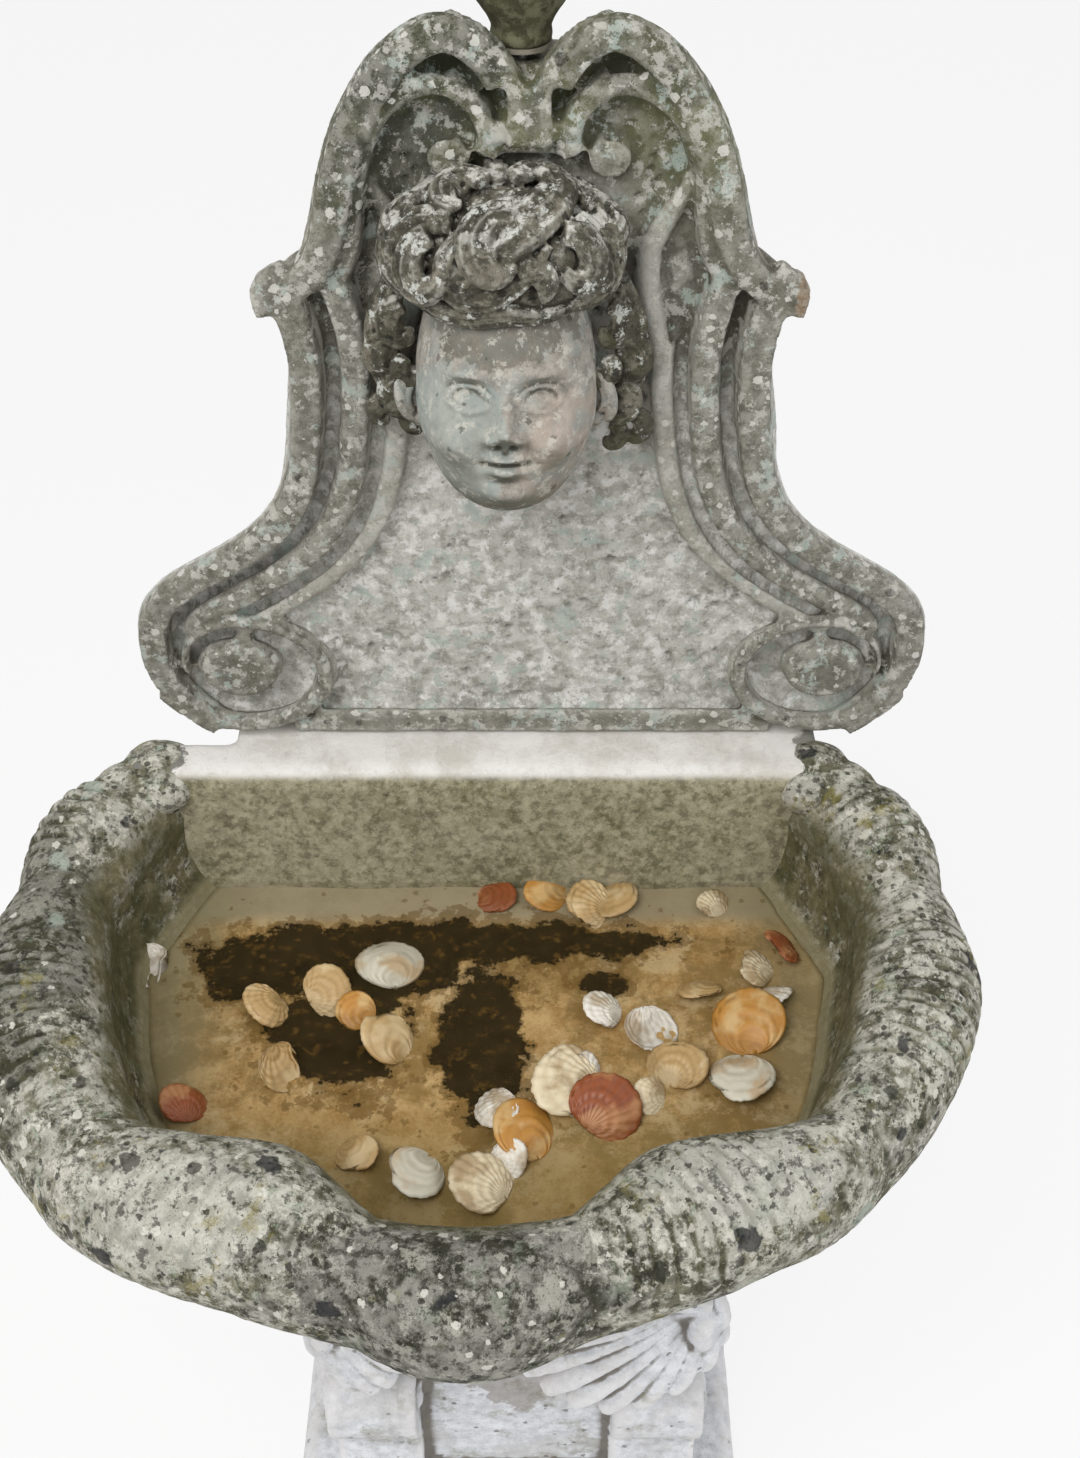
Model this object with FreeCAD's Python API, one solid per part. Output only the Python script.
# Stone font: a lobed basin on a carved pedestal, with a scrolled back panel
# that carries a cherub's head in high relief and a bud finial.
# Millimetres, +Z up, front towards -Y. The origin is on the floor, in the middle
# of the basin's width and of the font's whole depth.
import FreeCAD
import Part
import math
import os

V = FreeCAD.Vector
UP = V(0, 0, 1)
BACK = V(0, 1, 0)
RIGHT = V(1, 0, 0)

# ---- Levels and places ----
rim_height = 780.0        # floor to the top of the basin's ledge
bed = 4.0                 # thickness of each mortar bed
panel_shift = 34.0        # panel stands this far right of the basin's middle
pedestal_shift = 24.0     # and the pedestal this far
pedestal_y = -2.0

# ---- Basin ----
basin_half_width = 388.0
basin_front_reach = 322.0  # bowl centre to the front of the rim
basin_back_reach = 261.0   # bowl centre to the rim's back, before the wall cuts it
ledge_back_reach = 215.0   # bowl centre to the back of the ledge
ledge_depth = 44.0
ledge_batter = 12.0        # how far the wall under the ledge leans into the bowl
ledge_half_length = 300.0
basin_height = 235.0
bowl_depth = 178.0
roll_half_height = 54.0    # half the height of the rolled rim
bowl_half_width = 303.0    # inside the rim
bowl_front_reach = 236.0
bowl_back_reach = 226.0
foot_share = 0.52          # basin's foot against its rim
side_share = 0.86          # basin's side under the rim, against its rim
lobe_valleys = [16.0, 59.0, 102.0, 128.0]  # degrees from the front, each side
lobe_inward = [0.0, 36.0, 15.0, 10.0]      # how far each lobe swells into the bowl
valley_depth = 15.0        # how far the outline draws in between lobes
crest_dip = 16.0           # how far the rim dips between lobes
front_dip = 14.0           # how far the front lobe lies under the others
tail_depth = 75.0          # stone behind the ledge, which carries the panel
tail_half_width = 250.0
tail_height = 150.0

# ---- Back panel ----
panel_half_width = 320.0
panel_height = 617.0
panel_foot_half = 270.0
panel_relief = 26.0        # front of the frame to the field
waist_half = 171.0
waist_share = 0.559        # of the panel's height
ear_half = 190.0
ear_share = 0.697
neck_half = 150.0
lobe_half = 47.0           # panel's centre line to the top of each lobe
notch_drop = 45.0          # top of the lobes to the bottom of the notch
outer_band = 30.0
groove = 7.0
scroll_band = 26.0
arch_band = 20.0
fillet_band = 18.0
band_bevel = 4.0
volute_x = 238.0
volute_z = 75.0
volute_eye = 37.0
volute_turns = 0.95
volute_reach = 81.0
volute_wall = 25.0
volute_squash = 0.90
foot_band_height = 24.0

# ---- Cherub's head ----
head_shift = -8.0          # from the panel's centre line
head_share = 0.567         # middle of the face, as a share of the panel's height
face_half_width = 66.0
face_half_height = 88.0
head_tilt = 14.0           # degrees, chin out and brow back
face_reach = 96.0          # field to the front of the face
hair_rise = 106.0           # middle of the face to the middle of the hair
hair_half_width = 84.0
hair_half_height = 50.0
curl_radius = 24.0
head_bed_depth = 3.0
head_bed_radius = 44.0

# ---- Cap over the head ----
cap_width = 56.0
cap_height = 24.0
cap_gap = 14.0             # hair to the cap's foot
cap_reach = 22.0

# ---- Finial ----
finial_height = 118.0
finial_radius = 35.0
finial_neck = 17.0
finial_seat_drop = 42.0    # its seat, below the top of the lobes
finial_foot = 22.0
finial_rebate = 44.0       # half the width of the seat cut behind the notch
finial_bed = 3.0
finial_dowel_bite = 30.0

# ---- Pedestal ----
slab_width = 440.0
slab_depth = 420.0
slab_height = 60.0
slab_chamfer = 10.0
foot_width = 310.0
foot_height = 90.0
foot_plinth = 36.0
shaft_top = 236.0
shaft_foot = 262.0
shaft_height = 217.0
capital_top = 322.0
capital_neck = 252.0
abacus_height = 18.0
leaf_flutes = 5
leaf_flute_tip = 15.0
leaf_length = 128.0
console_width = 78.0
console_scroll = 34.0
console_toe = 24.0
basin_bed_radius = 138.0

# ---- Dowels and fixings ----
dowel_radius = 6.0
dowel_bite = 40.0          # how deep a dowel goes into each stone
dowel_clearance = 0.3
pedestal_dowel_half = 85.0
panel_dowel_half = 180.0
head_dowel_radius = 5.0
head_dowel_bite = 35.0
head_dowel_half = 32.0
anchor_radius = 7.0
anchor_depth = 32.0
anchor_half = 150.0
anchor_share = 0.486       # of the panel's height

# ---- Drain ----
pipe_radius = 20.0
pipe_wall = 2.5
pipe_bend = 26.0
pipe_clearance = 1.0
pipe_room = 12.0           # stone bore beyond the pipe
pipe_level = 250.0
waste_flange_radius = 34.0
waste_flange = 4.0
washer = 2.0
waste_tail = 45.0          # waste below the basin's underside
pipe_stand_off = 60.0      # pipe's end to the wall
nut_width = 60.0
nut_height = 12.0
coupling_wall = 5.0
coupling_half = 22.0
plug_clearance = 0.1
plug_cap = 3.0
plug_cap_radius = 24.0
plug_seal = 1.5
plug_depth = 12.0
plug_knob = 5.0

# ---- Worked out ----
font_depth = basin_front_reach + ledge_back_reach + tail_depth
wall_y = font_depth / 2
panel_front_y = wall_y - tail_depth
field_y = panel_front_y + panel_relief
bowl_y = panel_front_y - ledge_back_reach
ledge_front_y = panel_front_y - ledge_depth
basin_bottom = rim_height - basin_height
bowl_floor = rim_height - bowl_depth
capital_head = basin_bottom - bed
foot_base = slab_height + bed
shaft_base = foot_base + foot_height + bed
shaft_head = shaft_base + shaft_height
capital_base = shaft_head + bed
capital_height = capital_head - capital_base
panel_base = rim_height + bed
waist_level = waist_share * panel_height
ear_level = ear_share * panel_height
lobe_rise = panel_height - ear_level
head_z = head_share * panel_height
hair_z = head_z + hair_rise
cap_z = hair_z + hair_half_height + cap_gap
anchor_level = anchor_share * panel_height
far = 2 * rim_height       # longer than anything here, for rooms that trim
panel_mid_y = (field_y + wall_y) / 2
finial_y = wall_y - finial_radius - 1.0
finial_seat = panel_base + panel_height - finial_seat_drop
finial_base = finial_seat + finial_bed
head_x = panel_shift + head_shift
head_back_y = field_y - head_bed_depth
bore_radius = pipe_radius + pipe_room
nut_room = nut_width / math.sqrt(3) + 5.0
pipe_bore = pipe_radius - pipe_wall
flange_top = bowl_floor + washer + waste_flange
waste_low = basin_bottom - waste_tail
pipe_end_y = wall_y - pipe_stand_off


# ---- Helpers ----
def curve(points, closed=False):
    line = Part.BSplineCurve()
    line.interpolate(Points=points, PeriodicFlag=closed)
    return line.toShape()


def block(x_mid, y_mid, z_low, width, depth, height):
    return Part.makeBox(width, depth, height, V(x_mid - width / 2, y_mid - depth / 2, z_low))


def rod(radius, start, direction, length):
    return Part.makeCylinder(radius, length, start, direction)


def tube(outer, inner, start, direction, length):
    return rod(outer, start, direction, length).cut(rod(inner, start, direction, length))


def oval_ball(centre, half_x, half_y, half_z):
    # an ellipsoid: a ball stretched three ways
    ball = Part.makeSphere(1.0)
    stretch = FreeCAD.Matrix(half_x, 0, 0, centre.x, 0, half_y, 0, centre.y, 0, 0, half_z, centre.z, 0, 0, 0, 1)
    return ball.transformGeometry(stretch)


def extrude_y(outline, y_front, y_back):
    face = Part.Face(outline)
    face.translate(V(0, y_front, 0))
    return face.extrude(BACK * (y_back - y_front))


def square_ring(half, level):
    corners = [(-half, -half), (half, -half), (half, half), (-half, half), (-half, -half)]
    return Part.makePolygon([V(pedestal_shift + x, pedestal_y + y, level) for x, y in corners])


def square_loft(levels, straight=False):
    # a square body whose sides follow a profile of (level, half width)
    return Part.makeLoft([square_ring(half, level) for level, half in levels], True, straight)


def whole(shape):
    clean = shape.removeSplitter()
    return clean.Solids[0] if len(clean.Solids) == 1 else clean


def cut_all(shape, tools):
    for tool in tools:
        shape = shape.cut(tool)
    return shape.Solids[0] if len(shape.Solids) == 1 else shape


def fuse_all(shape, others):
    for other in others:
        shape = shape.fuse(other)
    return whole(shape)


# ---- Basin ----
def lobe_place(angle):
    # which lobe an angle from the front lies in, and how near its middle, 0 to 1
    angle = abs(angle)
    starts = [-lobe_valleys[0]] + lobe_valleys
    for index in range(len(starts) - 1):
        low, high = starts[index], starts[index + 1]
        if angle <= high:
            return index, math.sin(math.pi * (angle - low) / (high - low)) ** 1.2
    return len(starts) - 2, 0.0


def oval_reach(angle, half_width, front, back, power):
    # distance from the bowl's centre to an oval: an ellipse in front, squarer behind
    across = abs(math.sin(math.radians(angle))) / half_width
    along = math.cos(math.radians(angle))
    if along > 0:
        return (across ** 2 + (along / front) ** 2) ** -0.5
    return (across ** power + (-along / back) ** power) ** (-1 / power)



def basin_section(angle):
    # the basin's cut at one angle: its side, its rolled rim and the inside of the bowl
    lobe, swell = lobe_place(angle)
    plain = oval_reach(angle, basin_half_width, basin_front_reach, basin_back_reach, 3.0)
    outer = plain - valley_depth * (1 - swell)
    floor = oval_reach(angle, bowl_half_width, bowl_front_reach, bowl_back_reach, 3.5)
    inner = floor - lobe_inward[lobe] * swell
    half, middle = (outer - inner) / 2, (outer + inner) / 2
    dip = crest_dip * (1 - swell) + (front_dip * swell if lobe == 0 else 0.0)
    centre = rim_height - 2.0 - dip - roll_half_height
    roll = []
    for turn in range(-52, 170, 22):
        sweep = math.radians(turn)
        roll.append((middle + half * math.cos(sweep), centre + roll_half_height * math.sin(sweep)))
    tuck = roll[0][1]
    side = []
    for share in (0.0, 0.2, 0.4, 0.6, 0.8):
        side.append((plain * (foot_share + (side_share - foot_share) * share ** 0.75),
                     basin_bottom + (tuck - basin_bottom) * share ** 1.25))
    side.append(roll[0])
    drop = roll[-1][1] - bowl_floor
    inside = [roll[-1]]
    for share in (0.25, 0.5, 0.75, 1.0):
        sweep = math.radians(90 * share)
        inside.append((inner + (floor * 0.5 - inner) * (1 - math.cos(sweep)) ** 0.8,
                       roll[-1][1] - drop * math.sin(sweep)))
    return side, roll, inside


def bowl_solid():
    steps = 48
    turns = [i * 360 / steps for i in range(steps)]
    cuts = [basin_section(turn if turn <= 180 else 360 - turn) for turn in turns]
    faces = []
    ends = []
    for stage in range(3):
        rings = []
        for level in range(len(cuts[0][stage])):
            points = []
            for turn, cut in zip(turns, cuts):
                reach, height = cut[stage][level]
                sweep = math.radians(turn)
                points.append(V(reach * math.sin(sweep), bowl_y - reach * math.cos(sweep), height))
            rings.append(Part.Wire([curve(points, closed=True)]))
        faces += Part.makeLoft(rings, False, False).Faces
        ends.append((rings[0], rings[-1]))
    faces += [Part.Face(ends[0][0]), Part.Face(ends[2][1])]
    shell = Part.makeShell(faces)
    shell.sewShape()
    return Part.Solid(shell)


def back_wall():
    # the straight wall under the ledge, cut to a boat shape from the front
    round_off = 12.0
    lean_y = ledge_front_y - ledge_batter
    low = basin_bottom
    start = V(0, panel_front_y, low)
    corners = [start, V(0, panel_front_y, rim_height), V(0, ledge_front_y + round_off, rim_height),
               V(0, ledge_front_y, rim_height - round_off), V(0, lean_y, bowl_floor),
               V(0, lean_y, low), start]
    bend = Part.Arc(corners[2], V(0, ledge_front_y + 0.29 * round_off, rim_height - 0.29 * round_off),
                    corners[3]).toShape()
    edges = [bend if i == 2 else Part.makeLine(corners[i], corners[i + 1]) for i in range(6)]
    bar = Part.Face(Part.Wire(edges)).extrude(RIGHT * 2 * ledge_half_length)
    bar.translate(V(-ledge_half_length, 0, 0))
    half, foot = ledge_half_length, basin_half_width * foot_share * 0.85
    side = rim_height - 0.3 * basin_height
    top_left, top_right = V(-half, 0, rim_height), V(half, 0, rim_height)
    boat = Part.Wire([
        Part.makeLine(top_left, top_right),
        Part.makeLine(top_right, V(half, 0, side)),
        Part.Arc(V(half, 0, side), V(0.86 * half, 0, basin_bottom + 0.3 * basin_height),
                 V(foot, 0, basin_bottom)).toShape(),
        Part.makeLine(V(foot, 0, basin_bottom), V(-foot, 0, basin_bottom)),
        Part.Arc(V(-foot, 0, basin_bottom), V(-0.86 * half, 0, basin_bottom + 0.3 * basin_height),
                 V(-half, 0, side)).toShape(),
        Part.makeLine(V(-half, 0, side), top_left)])
    return bar.common(extrude_y(boat, lean_y - 1, panel_front_y + 1))


def tail():
    # the corbel behind the ledge that carries the panel
    reach = [V(0, panel_front_y, rim_height), V(0, wall_y, rim_height),
             V(0, wall_y, rim_height - 0.6 * tail_height),
             V(0, panel_front_y, rim_height - tail_height)]
    face = Part.Face(Part.makePolygon(reach + reach[:1]))
    corbel = face.extrude(RIGHT * 2 * tail_half_width)
    corbel.translate(V(panel_shift - tail_half_width, 0, 0))
    return corbel


def make_basin():
    reach = 4 * basin_half_width
    room_in_front = Part.makeBox(reach, reach, reach, V(-reach / 2, panel_front_y - reach, 0))
    basin = bowl_solid().common(room_in_front).fuse(back_wall()).fuse(tail())
    waste_hole = rod(pipe_radius + pipe_clearance, V(pedestal_shift, pedestal_y, basin_bottom - 1),
                     UP, basin_height)
    return cut_all(basin, [waste_hole] + dowel_holes(pedestal_dowels, basin_bottom, 1)
                   + dowel_holes(panel_dowels, rim_height, -1))


# ---- Dowels and mortar ----
pedestal_dowels = [(pedestal_shift - pedestal_dowel_half, pedestal_y),
                   (pedestal_shift + pedestal_dowel_half, pedestal_y)]
panel_dowels = [(panel_shift - panel_dowel_half, panel_mid_y), (panel_shift + panel_dowel_half, panel_mid_y)]
joint_levels = [slab_height, foot_base + foot_height, shaft_head, capital_head]


def dowel_holes(places, level, way):
    # blind holes drilled up (way 1) or down (way -1) from a joint
    return [rod(dowel_radius + dowel_clearance, V(x, y, level), UP * way, dowel_bite) for x, y in places]


def make_setting_dowels():
    length = 2 * dowel_bite + bed
    places = [(x, y, level) for level in joint_levels for x, y in pedestal_dowels]
    places += [(x, y, rim_height) for x, y in panel_dowels]
    return Part.Compound([rod(dowel_radius, V(x, y, level - dowel_bite), UP, length) for x, y, level in places])


def mortar(layer, level, places, core=0.0):
    holes = [rod(dowel_radius + dowel_clearance, V(x, y, level), UP, bed) for x, y in places]
    if core:
        holes.append(rod(core, V(pedestal_shift, pedestal_y, level), UP, bed))
    return cut_all(layer, holes)


def make_beds():
    def square_bed(level, width, core=0.0):
        return mortar(block(pedestal_shift, pedestal_y, level, width, width, bed), level, pedestal_dowels, core)
    disc = rod(basin_bed_radius, V(pedestal_shift, pedestal_y, capital_head), UP, bed)
    strip_bed = block(panel_shift, panel_mid_y, rim_height, 2 * tail_half_width - 10, 42, bed)
    return {"foot_bed": square_bed(slab_height, foot_width - 12),
            "shaft_bed": square_bed(foot_base + foot_height, shaft_foot - 12),
            "capital_bed": square_bed(shaft_head, shaft_top - 12, bore_radius),
            "basin_bed": mortar(disc, capital_head, pedestal_dowels, nut_room),
            "panel_bed": mortar(strip_bed, rim_height, panel_dowels)}


# ---- Back panel ----
def place(points):
    return [V(x + panel_shift, 0, z + panel_base) for x, z in points]


def flip(points):
    return [V(2 * panel_shift - p.x, p.y, p.z) for p in points]


def lobe_line():
    # right-hand outline from the notch over the lobe to the ear's tip
    top, rise = panel_height, lobe_rise
    return place([(0, top - notch_drop), (0.42 * lobe_half, top - 0.30 * notch_drop), (lobe_half, top),
                  (lobe_half + 34, top - 0.07 * rise), (neck_half - 31, top - 0.35 * rise),
                  (neck_half - 9, top - 0.67 * rise), (neck_half + 3, ear_level + 0.145 * rise),
                  (ear_half, ear_level)])


def arch_line():
    # the arch inside each lobe, beside the notch and down to the ear
    top, rise = panel_height, lobe_rise
    return place([(27, top - 0.52 * rise), (31, top - 0.353 * rise), (52, top - 0.267 * rise),
                  (82, top - 0.32 * rise), (103, top - 0.49 * rise), (113, top - 0.695 * rise),
                  (120, top - 0.882 * rise), (133, ear_level - 2)])


def side_line():
    # right-hand outline from the ear's tip round the volute to the panel's foot
    w, waist = panel_half_width, waist_level
    return place([(ear_half, ear_level), (waist_half + 2, 1.13 * waist), (waist_half, 0.957 * waist),
                  (waist_half + 20, 0.72 * waist), (w - 70, 0.568 * waist), (w - 15, 0.438 * waist),
                  (w, 0.304 * waist), (w - 14, 0.122 * waist), (panel_foot_half, 0)])


def panel_outline():
    lobe, side = lobe_line(), side_line()
    return Part.Wire([curve(lobe), curve(side), Part.makeLine(side[-1], flip(side)[-1]),
                      curve(flip(side)[::-1]), curve(flip(lobe)[::-1])])


def set_in(edge, distance, ends=(0.0, 1.0), steps=16):
    # points along an edge of the outline, moved into the panel by a distance
    first, last = edge.FirstParameter, edge.LastParameter
    points = []
    for i in range(steps + 1):
        share = ends[0] + (ends[1] - ends[0]) * i / steps
        where = first + (last - first) * share
        along = edge.tangentAt(where)
        points.append(edge.valueAt(where) + V(along.z, 0, -along.x) * distance)
    return points


def band(far, near, y_front, bevel=4.0):
    # a raised band between two rows of points, with sloping sides
    def outline(shrink, y):
        rows = []
        for row, other in ((far, near), (near, far)):
            rows.append([V(p.x, y, p.z) + V(q.x - p.x, 0, q.z - p.z).normalize() * shrink
                         for p, q in zip(row, other)])
        return Part.Wire([curve(rows[0]), Part.makeLine(rows[0][-1], rows[1][-1]),
                          curve(rows[1][::-1]), Part.makeLine(rows[1][0], rows[0][0])])
    return Part.makeLoft([outline(0.0, field_y + 3.0), outline(bevel, y_front)], True, True)


def volute():
    # a band that winds clockwise round the eye, and the eye's oval boss
    far, near = [], []
    steps = 24
    for i in range(steps + 1):
        share = i / steps
        turn = math.radians(-25 - 360 * volute_turns * share)
        reach = volute_reach - (volute_reach - volute_eye - 10.0) * max(0.0, share - 0.4) / 0.6
        wall = volute_wall * (1 - 0.6 * share)
        for row, radius in ((far, reach), (near, reach - wall)):
            row.append(V(panel_shift + volute_x + radius * math.cos(turn), 0,
                         panel_base + volute_z + volute_squash * radius * math.sin(turn)))
    eye = Part.makeCone(volute_eye, volute_eye - 7, panel_relief + 1, V(0, 0, 0), V(0, -1, 0))
    flatten = FreeCAD.Matrix(1, 0, 0, panel_shift + volute_x, 0, 1, 0, field_y + 3.0,
                             0, 0, volute_squash, panel_base + volute_z, 0, 0, 0, 1)
    return [band(far, near, panel_front_y + 3.0), eye.transformGeometry(flatten)]


def half_frame():
    # everything raised on the right-hand half of the field
    side, lobe = curve(side_line()), curve(lobe_line())
    second = outer_band + groove
    third = second + scroll_band + groove
    pieces = [band(set_in(edge, 2.0), set_in(edge, outer_band), panel_front_y) for edge in (side, lobe)]
    pieces.append(band(set_in(side, second, (0.03, 0.72)),
                       set_in(side, second + scroll_band, (0.03, 0.72)), panel_front_y + 5))
    arch = curve(arch_line())
    pieces.append(band(set_in(arch, -arch_band / 2), set_in(arch, arch_band / 2), panel_front_y + 6))
    pieces.append(band(set_in(side, third, (0.12, 0.62)),
                       set_in(side, third + fillet_band, (0.12, 0.62)), panel_front_y + 14, 2.0))
    x, z = panel_shift + 50, panel_base + panel_height - 0.535 * lobe_rise
    pieces.append(rod(13.0, V(x, field_y + 3, z), BACK * -1, 19))
    return pieces + volute()


def make_panel():
    plate = extrude_y(panel_outline(), field_y, wall_y)
    half = half_frame()
    middle = V(panel_shift, 0, 0)
    other = [piece.mirror(middle, RIGHT) for piece in half]
    foot_strip = block(panel_shift, field_y - 6, panel_base, 2 * panel_foot_half - 140, 20, foot_band_height)
    notch_fill = block(panel_shift, (panel_front_y + field_y) / 2 + 2, panel_base + panel_height - notch_drop - 44,
                       26, panel_relief + 4, 40)
    cap_z0 = panel_base + cap_z
    cap = [block(panel_shift, field_y - cap_reach / 2 + 2, cap_z0 + cap_height / 2, cap_width, cap_reach + 4,
                 cap_height / 2),
           block(panel_shift, field_y - cap_reach / 2 + 5, cap_z0, cap_width - 14, cap_reach - 4, cap_height / 2)]
    panel = fuse_all(plate, half + other + [foot_strip, notch_fill] + cap)
    seat = Part.makeBox(2 * finial_rebate, far, far,
                        V(panel_shift - finial_rebate, finial_y - finial_foot - 1, finial_seat))
    tools = [seat, rod(dowel_radius + dowel_clearance, V(panel_shift, finial_y, finial_seat), UP * -1,
                       finial_dowel_bite)]
    tools += dowel_holes(panel_dowels, panel_base, 1)
    for side in (-1, 1):
        tools.append(rod(head_dowel_radius + dowel_clearance,
                         V(head_x, field_y, panel_base + head_z + 20 + side * head_dowel_half), BACK,
                         head_dowel_bite))
        tools.append(rod(anchor_radius, V(panel_shift + side * anchor_half, wall_y, panel_base + anchor_level),
                         BACK * -1, anchor_depth))
    return cut_all(panel, tools)


# ---- Cherub's head ----
def curls():
    # thick locks round the brow, over the crown and down past the ears
    level = panel_base + hair_z
    rows = [(5, 8, 172, 0.96, 0.98, -32), (4, 20, 160, 0.72, 0.30, -60)]
    locks = []
    for count, start, end, across, up, forward in rows:
        for i in range(count):
            turn = math.radians(start + (end - start) * i / (count - 1))
            x = head_x + across * (hair_half_width - curl_radius) * math.cos(turn)
            z = level + up * (hair_half_height - curl_radius) * math.sin(turn)
            locks.append(Part.makeSphere(curl_radius, V(x, field_y + forward, z)))
    for side in (-1, 1):
        for drop in (38, 72):
            locks.append(Part.makeSphere(curl_radius - 4, V(head_x + side * (face_half_width + 3 - 0.08 * drop),
                                                            field_y - 30, level - drop)))
    return locks


def make_head():
    middle = panel_base + head_z
    face_depth = 66.0
    front = field_y - face_reach
    face = oval_ball(V(head_x, front + face_depth, middle), face_half_width, face_depth, face_half_height)
    nose = oval_ball(V(head_x, front + 6, middle - 8), 11.0, 14.0, 17.0)
    chin = oval_ball(V(head_x, front + 26, middle - 66), 24.0, 24.0, 19.0)
    cheeks = [oval_ball(V(head_x + side * 34, front + 25, middle - 26), 26.0, 24.0, 27.0) for side in (-1, 1)]
    mask = [face, nose, chin] + cheeks
    for ball in mask:
        ball.rotate(V(head_x, front + face_depth, middle), V(1, 0, 0), -head_tilt)
    hair = oval_ball(V(head_x, field_y - 26, panel_base + hair_z), hair_half_width - 4, 62.0, hair_half_height)
    neck = rod(head_bed_radius, V(head_x, field_y - 40, middle + 20), BACK, 45)
    head = fuse_all(face, [hair, neck] + mask[1:] + curls())
    room = Part.makeBox(far, far, far, V(head_x - far / 2, head_back_y - far, 0))
    holes = [rod(head_dowel_radius + dowel_clearance,
                 V(head_x, head_back_y, middle + 20 + side * head_dowel_half), BACK * -1, head_dowel_bite)
             for side in (-1, 1)]
    return cut_all(head.common(room), holes)


def make_head_fixings():
    middle = panel_base + head_z + 20
    levels = [middle - head_dowel_half, middle + head_dowel_half]
    start = head_back_y - head_dowel_bite
    length = 2 * head_dowel_bite + head_bed_depth
    pins = [rod(head_dowel_radius, V(head_x, start, z), BACK, length) for z in levels]
    disc = rod(head_bed_radius, V(head_x, head_back_y, middle), BACK, head_bed_depth)
    holes = [rod(head_dowel_radius + dowel_clearance, V(head_x, head_back_y, z), BACK, head_bed_depth)
             for z in levels]
    return {"head_bed": cut_all(disc, holes), "head_dowels": Part.Compound(pins)}


# ---- Finial ----
def make_finial():
    r, h = finial_radius, finial_height - finial_bed
    def at(radius, z):
        return V(panel_shift + radius, finial_y, finial_base + z)
    low, high = at(0, 0), at(0, h)
    rim, neck, belly, tip = at(finial_foot, 8), at(finial_neck, 24), at(r, 60), at(0.12 * r, h)
    outline = Part.Wire([Part.makeLine(low, at(finial_foot, 0)), Part.makeLine(at(finial_foot, 0), rim),
                         Part.Arc(rim, at(finial_neck + 1, 14), neck).toShape(),
                         Part.Arc(neck, at(0.86 * r, 42), belly).toShape(),
                         Part.Arc(belly, at(0.74 * r, 88), tip).toShape(),
                         Part.makeLine(tip, high), Part.makeLine(high, low)])
    bud = Part.Face(outline).revolve(low, UP, 360)
    hole = rod(dowel_radius + dowel_clearance, low, UP, finial_dowel_bite)
    return cut_all(bud, [hole])


def make_finial_fixings():
    seat = V(panel_shift, finial_y, finial_seat)
    length = 2 * finial_dowel_bite + finial_bed
    layer = tube(finial_foot - 2, dowel_radius + dowel_clearance, seat, UP, finial_bed)
    pin = rod(dowel_radius, seat - UP * finial_dowel_bite, UP, length)
    return {"finial_bed": layer, "finial_dowel": pin}


# ---- Pedestal ----
def make_slab():
    slab = block(pedestal_shift, pedestal_y, 0, slab_width, slab_depth, slab_height)
    top = [e for e in slab.Edges if all(abs(v.Z - slab_height) < 0.01 for v in e.Vertexes)]
    slab = slab.makeChamfer(slab_chamfer, top)
    return cut_all(slab, dowel_holes(pedestal_dowels, slab_height, -1))


def make_foot():
    half, low, high = foot_width / 2, foot_base, foot_base + foot_height
    plinth = square_loft([(low, half), (low + foot_plinth, half)], True)
    roll_low, roll_high = low + foot_plinth, high - 30
    middle, rise = (roll_low + roll_high) / 2, (roll_high - roll_low) / 2
    roll = square_loft([(middle - rise * math.cos(math.radians(t)), half - 14 + 12 * math.sin(math.radians(t)))
                        for t in range(0, 181, 30)])
    cove = square_loft([(roll_high + share * (high - roll_high),
                         half - 14 - (half - 14 - shaft_foot / 2 - 2) * math.sin(math.radians(90 * share)))
                        for share in (0.0, 0.25, 0.5, 0.75, 1.0)])
    foot = fuse_all(plinth, [roll, cove])
    return cut_all(foot, dowel_holes(pedestal_dowels, low, 1) + dowel_holes(pedestal_dowels, high, -1))


def console(side):
    # an S-shaped bracket at a front corner: a scroll at its head, a smaller one at its toe
    x = pedestal_shift + side * (shaft_top / 2 + 6) - console_width / 2
    face_y = pedestal_y - shaft_top / 2
    head = V(x, face_y - 6, shaft_head - console_scroll - 2)
    toe = V(x, face_y - 10, shaft_base + console_toe + 2)
    pieces = [rod(console_scroll, head, RIGHT, console_width), rod(console_toe, toe, RIGHT, console_width)]
    for middle, radius in ((head, console_scroll), (toe, console_toe)):
        pieces.append(rod(0.42 * radius, middle - RIGHT * 4, RIGHT, console_width + 8))
    front = curve([V(x, head.y - console_scroll + 1, head.z), V(x, face_y - 30, head.z - 45),
                   V(x, face_y - 12, (head.z + toe.z) / 2), V(x, face_y - 16, toe.z + 30),
                   V(x, toe.y - console_toe + 1, toe.z)])
    start, end = front.Vertexes[0].Point, front.Vertexes[-1].Point
    back_y = face_y + 30
    edges = [front, Part.makeLine(end, V(x, back_y, end.z)), Part.makeLine(V(x, back_y, end.z), V(x, back_y, start.z)),
             Part.makeLine(V(x, back_y, start.z), start)]
    pieces.append(Part.Face(Part.Wire(edges)).extrude(RIGHT * console_width))
    return pieces


def pipe_bores(radius):
    # room for the drain pipe: down the middle and out of the back
    down = rod(radius, V(pedestal_shift, pedestal_y, pipe_level - radius), UP, rim_height - pipe_level)
    out = rod(radius, V(pedestal_shift, pedestal_y, pipe_level), BACK, font_depth)
    return [down, out]


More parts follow.
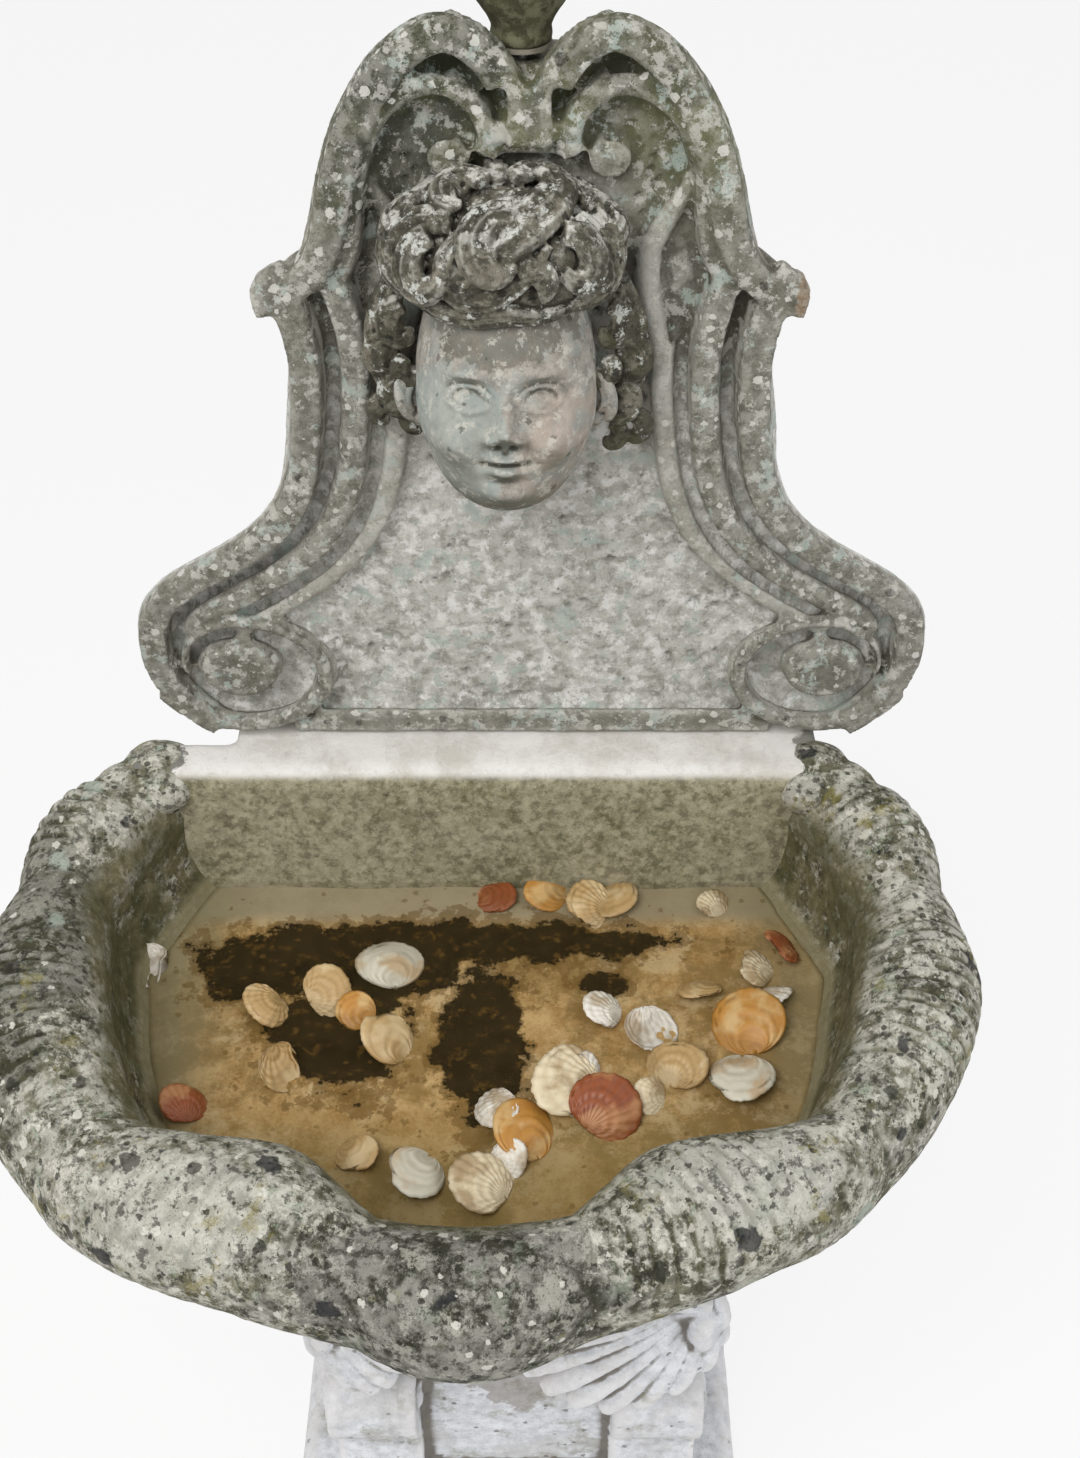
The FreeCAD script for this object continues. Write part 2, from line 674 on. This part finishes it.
def make_shaft():
    core = square_loft([(shaft_base, shaft_foot / 2), (shaft_base + 22, shaft_foot / 2),
                        (shaft_base + 30, shaft_foot / 2 - 12), (shaft_head, shaft_top / 2)], True)
    shaft = fuse_all(core, console(-1) + console(1))
    room = Part.makeBox(far, far, shaft_height, V(-far / 2, -far / 2, shaft_base))
    return cut_all(shaft.common(room), pipe_bores(bore_radius) + dowel_holes(pedestal_dowels, shaft_base, 1)
                   + dowel_holes(pedestal_dowels, shaft_head, -1))


def acanthus(side):
    # a fan of tapering flutes that hangs from a front corner of the capital
    half = capital_top / 2
    root = V(pedestal_shift + side * (half - 12), pedestal_y - half + 10, capital_head - abacus_height + 4)
    flutes = []
    for i in range(leaf_flutes):
        sweep = math.radians(22 + 62 * i / (leaf_flutes - 1))
        length = leaf_length * (1.0 - 0.06 * i)
        way = V(-side * math.cos(sweep), 0.10 + 0.24 * math.sin(sweep), -math.sin(sweep))
        way.normalize()
        flutes.append(Part.makeCone(7.0, leaf_flute_tip, length, root, way))
        flutes.append(Part.makeSphere(leaf_flute_tip, root + way * length))
    curl = root + V(side * 4, 6, -34)
    flutes.append(oval_ball(curl, 15.0, 22.0, 34.0))
    return flutes


def make_capital():
    half, neck = capital_top / 2, capital_neck / 2
    low, high = capital_base, capital_head - abacus_height
    bell = square_loft([(low, neck + 6), (low + 14, neck + 6)], True)
    body = square_loft([(low + 14 + share * (high - low - 14), neck - 4 + (half - 18 - neck) * share ** 1.6)
                        for share in (0.0, 0.25, 0.5, 0.75, 1.0)])
    abacus = square_loft([(high, half - 12), (high + 4, half - 3), (capital_head, half - 3)], True)
    capital = fuse_all(body, [bell, abacus] + acanthus(-1) + acanthus(1))
    room = Part.makeBox(far, far, capital_height, V(-far / 2, -far / 2, capital_base))
    return cut_all(capital.common(room), [rod(nut_room, V(pedestal_shift, pedestal_y, low), UP, far)]
                   + dowel_holes(pedestal_dowels, low, 1) + dowel_holes(pedestal_dowels, capital_head, -1))


# ---- Drain ----
def make_drain():
    centre = V(pedestal_shift, pedestal_y, 0)
    flange_low = bowl_floor + washer
    waste = tube(waste_flange_radius, pipe_bore, centre + UP * flange_low, UP, waste_flange)
    waste = whole(waste.fuse(tube(pipe_radius, pipe_bore, centre + UP * waste_low, UP, flange_low - waste_low + 1)))
    corner = nut_width / math.sqrt(3)
    hexagon = [centre + V(corner * math.cos(math.radians(60 * i)), corner * math.sin(math.radians(60 * i)),
                          basin_bottom - washer - nut_height) for i in range(7)]
    nut = Part.Face(Part.makePolygon(hexagon)).extrude(UP * nut_height)
    nut = nut.cut(rod(pipe_radius, centre + UP * (basin_bottom - washer - nut_height), UP, nut_height))
    bend_top = pipe_level + pipe_bend
    down = tube(pipe_radius, pipe_bore, centre + UP * bend_top, UP, waste_low - bend_top)
    elbow_y = pedestal_y + pipe_bend
    face = Part.Face([Part.Wire(Part.makeCircle(pipe_radius, centre + UP * bend_top, UP)),
                      Part.Wire(Part.makeCircle(pipe_bore, centre + UP * bend_top, UP))])
    elbow = face.revolve(V(pedestal_shift, elbow_y, bend_top), RIGHT, 90)
    out = tube(pipe_radius, pipe_bore, V(pedestal_shift, elbow_y, pipe_level), BACK, pipe_end_y - elbow_y)
    coupling = tube(pipe_radius + coupling_wall, pipe_radius, centre + UP * (waste_low - coupling_half),
                    UP, 2 * coupling_half)
    washer_radius = nut_width / 2 + 2
    return {"waste": waste,
            "waste_seal": tube(waste_flange_radius - 2, pipe_radius + pipe_clearance,
                               centre + UP * bowl_floor, UP, washer),
            "nut_washer": tube(washer_radius, pipe_radius + pipe_clearance,
                               centre + UP * (basin_bottom - washer), UP, washer),
            "waste_nut": whole(nut),
            "drain_pipe": whole(down.multiFuse([elbow, out])),
            "pipe_coupling": coupling}


def make_plug():
    seat = V(pedestal_shift, pedestal_y, flange_top)
    cap_low = seat + UP * plug_seal
    stem_radius = pipe_bore - plug_clearance
    stem = rod(stem_radius, seat - UP * plug_depth, UP, plug_depth + plug_seal)
    cap = rod(plug_cap_radius, cap_low, UP, plug_cap)
    neck = rod(3.0, cap_low + UP * plug_cap, UP, plug_knob)
    knob = Part.makeSphere(plug_knob, cap_low + UP * (plug_cap + 1.6 * plug_knob))
    return {"plug": fuse_all(stem, [cap, neck, knob]),
            "plug_seal": tube(plug_cap_radius - 1, stem_radius, seat, UP, plug_seal)}


# ---- Build ----
def main():
    os.makedirs("parts", exist_ok=True)
    parts = {"base_slab": make_slab(), "pedestal_foot": make_foot(), "pedestal_shaft": make_shaft(),
             "pedestal_capital": make_capital(), "basin": make_basin(), "back_panel": make_panel(),
             "cherub_head": make_head(), "finial": make_finial(), "setting_dowels": make_setting_dowels()}
    for group in (make_beds(), make_head_fixings(), make_finial_fixings(), make_drain(), make_plug()):
        parts.update(group)
    for name, shape in parts.items():
        box = shape.BoundBox
        print("%-18s %s %d solids %8.3f litres  x %.0f..%.0f y %.0f..%.0f z %.0f..%.0f" % (
            name, shape.isValid(), len(shape.Solids), shape.Volume / 1e6,
            box.XMin, box.XMax, box.YMin, box.YMax, box.ZMin, box.ZMax))
        shape.exportStep("parts/" + name + ".step")


main()
